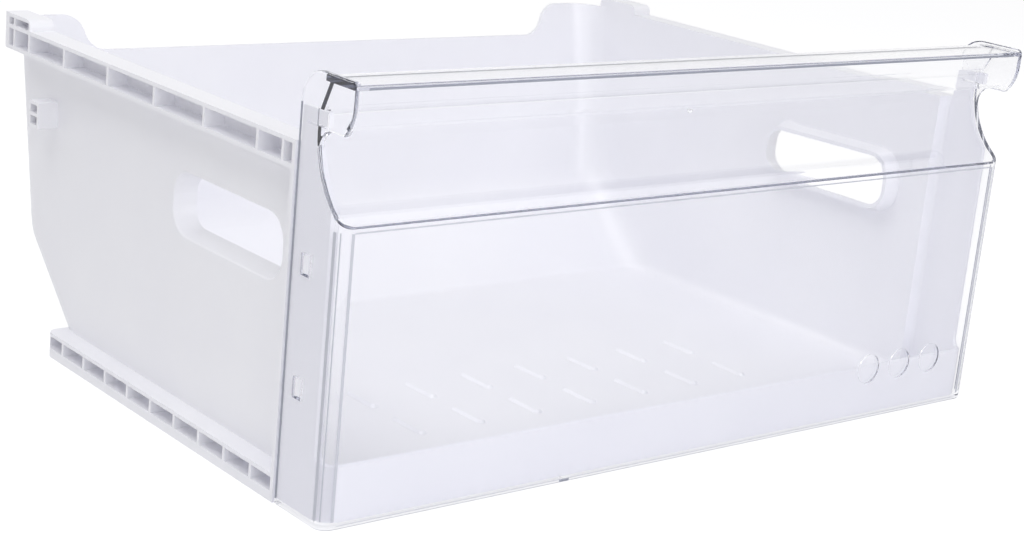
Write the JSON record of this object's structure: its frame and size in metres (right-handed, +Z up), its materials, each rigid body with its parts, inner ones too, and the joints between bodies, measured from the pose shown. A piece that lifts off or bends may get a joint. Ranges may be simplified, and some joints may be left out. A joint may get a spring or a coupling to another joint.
{
  "type": "freezer drawer",
  "caption": "Open-topped freezer drawer: a white ribbed tub with side rails and hand holes, and a clear front with a finger hollow and hooded handle.",
  "frame": {"origin": "on the ground under the middle of the drawer's box", "axes": "+X across the drawer, to the right for someone who faces the handle; +Y from the handle to the back; +Z up"},
  "size_m": [0.44, 0.347, 0.202],
  "materials": {
    "tub": "white moulded polystyrene, satin gloss",
    "front_panel": "clear moulded polystyrene, polished"
  },
  "bodies": {
    "root": {"tub": "tub", "front_panel": "front_panel"}
  },
  "joints": []
}
